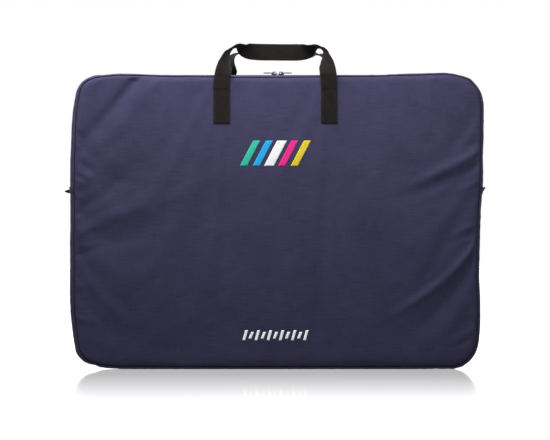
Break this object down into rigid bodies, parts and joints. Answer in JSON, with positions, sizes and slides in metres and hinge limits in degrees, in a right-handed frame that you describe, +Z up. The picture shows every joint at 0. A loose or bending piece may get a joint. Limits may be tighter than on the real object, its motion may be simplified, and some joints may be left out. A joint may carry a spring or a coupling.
{
  "type": "garment bag",
  "caption": "Flat padded carry bag for garments, with a gusset, a curved two-way zip around the top, a fold-down front and paired webbing handles.",
  "frame": {"origin": "middle of the bag's base, on the surface it stands on", "axes": "+X along the width to the right seen from the front, +Y towards the back, +Z up through the handles"},
  "size_m": [0.7708, 0.0961, 0.5924],
  "materials": {
    "cover": "matte",
    "foam": "matte",
    "lining": "satin",
    "binding": "matte",
    "zip_tape": "matte",
    "zip_coil": "satin",
    "webbing": "satin",
    "zip_metal": "gloss",
    "print": "matte",
    "emblem": "satin"
  },
  "bodies": {
    "back_shell": {"back_panel_cover": "cover", "back_panel_foam": "foam", "back_panel_lining": "lining", "back_seam_binding": "binding", "front_lower_cover": "cover", "front_lower_foam": "foam", "front_lower_lining": "lining", "front_lower_binding": "binding", "lower_gusset_cover": "cover", "lower_gusset_foam": "foam", "lower_gusset_lining": "lining", "back_zip_gusset_cover": "cover", "back_zip_gusset_lining": "lining", "back_zip_tape": "zip_tape", "back_zip_coil": "zip_coil", "zip_end_tab_left": "webbing", "zip_end_tab_right": "webbing", "back_handle_sewn_ends": "webbing", "front_lower_motif": "print"},
    "front_flap": {"front_flap_cover": "cover", "front_flap_foam": "foam", "front_flap_lining": "lining", "front_flap_binding": "binding", "front_zip_gusset_cover": "cover", "front_zip_gusset_lining": "lining", "front_zip_tape": "zip_tape", "front_zip_coil": "zip_coil", "front_handle_sewn_ends": "webbing", "front_emblem": "emblem"},
    "front_handle": {"front_handle_strap": "webbing"},
    "back_handle": {"back_handle_strap": "webbing"},
    "left_slider": {"zip_slider_left": "zip_metal"},
    "right_slider": {"zip_slider_right": "zip_metal"},
    "left_pull": {"zip_pull_left": "zip_metal"},
    "right_pull": {"zip_pull_right": "zip_metal"}
  },
  "joints": [
    {"name": "flap_open", "type": "hinge", "parent": "back_shell", "child": "front_flap", "pos_m": [0, -0.0444, 0.325], "axis": [1, 0, 0], "range_deg": [0, 110]},
    {"name": "front_handle_swing", "type": "hinge", "parent": "front_flap", "child": "front_handle", "pos_m": [0, -0.0468, 0.505], "axis": [1, 0, 0], "range_deg": [0, 175]},
    {"name": "back_handle_swing", "type": "hinge", "parent": "back_shell", "child": "back_handle", "pos_m": [0, 0.0468, 0.505], "axis": [-1, 0, 0], "range_deg": [0, 175]},
    {"name": "zip_left_slide", "type": "slide", "parent": "back_shell", "child": "left_slider", "axis": [-1, 0, 0], "range_m": [0, 0.305]},
    {"name": "zip_right_slide", "type": "slide", "parent": "back_shell", "child": "right_slider", "axis": [1, 0, 0], "range_m": [0, 0.307]},
    {"name": "left_pull_lift", "type": "hinge", "parent": "left_slider", "child": "left_pull", "pos_m": [-0.002, 0, 0.5388], "axis": [0, 1, 0], "range_deg": [0, 95]},
    {"name": "right_pull_lift", "type": "hinge", "parent": "right_slider", "child": "right_pull", "pos_m": [0.01, 0, 0.5388], "axis": [0, -1, 0], "range_deg": [0, 95]}
  ]
}
